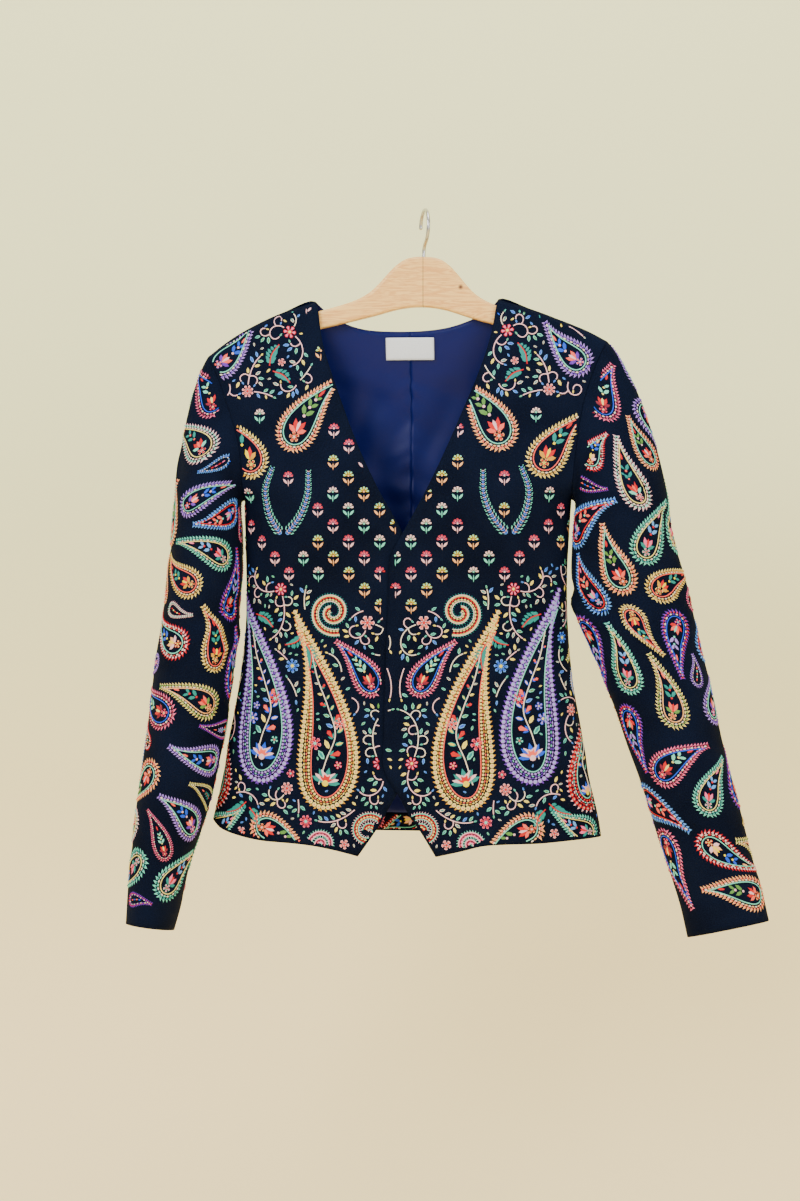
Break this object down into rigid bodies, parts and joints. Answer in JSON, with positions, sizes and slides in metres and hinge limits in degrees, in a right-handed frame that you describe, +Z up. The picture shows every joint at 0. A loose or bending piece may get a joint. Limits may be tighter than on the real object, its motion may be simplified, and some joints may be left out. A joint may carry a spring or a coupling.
{
  "type": "embroidered collarless jacket on a wooden hanger",
  "caption": "Short fitted long-sleeved jacket with a V neck and cut-away front hem, hanging on a flat wooden hanger with a steel hook.",
  "frame": {"origin": "inside top of the hanger's hook, where a rail carries it", "axes": "+Z up, -Y towards the jacket's front, +X towards the wearer's left"},
  "size_m": [0.6598, 0.1313, 0.7508],
  "materials": {
    "navy_cloth": "matte twill, covered in multicoloured thread embroidery",
    "satin_lining": "satin",
    "label_satin": "satin",
    "pine": "satin varnish",
    "hook_steel": "bright drawn wire"
  },
  "bodies": {
    "root": {"front_left": "navy_cloth", "front_right": "navy_cloth", "back": "navy_cloth", "sleeve_left_top": "navy_cloth", "sleeve_left_under": "navy_cloth", "sleeve_right_top": "navy_cloth", "sleeve_right_under": "navy_cloth", "back_hem_facing": "navy_cloth", "lining_left": "satin_lining", "lining_right": "satin_lining", "label": "label_satin", "hanger": "pine", "hook": "hook_steel"}
  },
  "joints": []
}
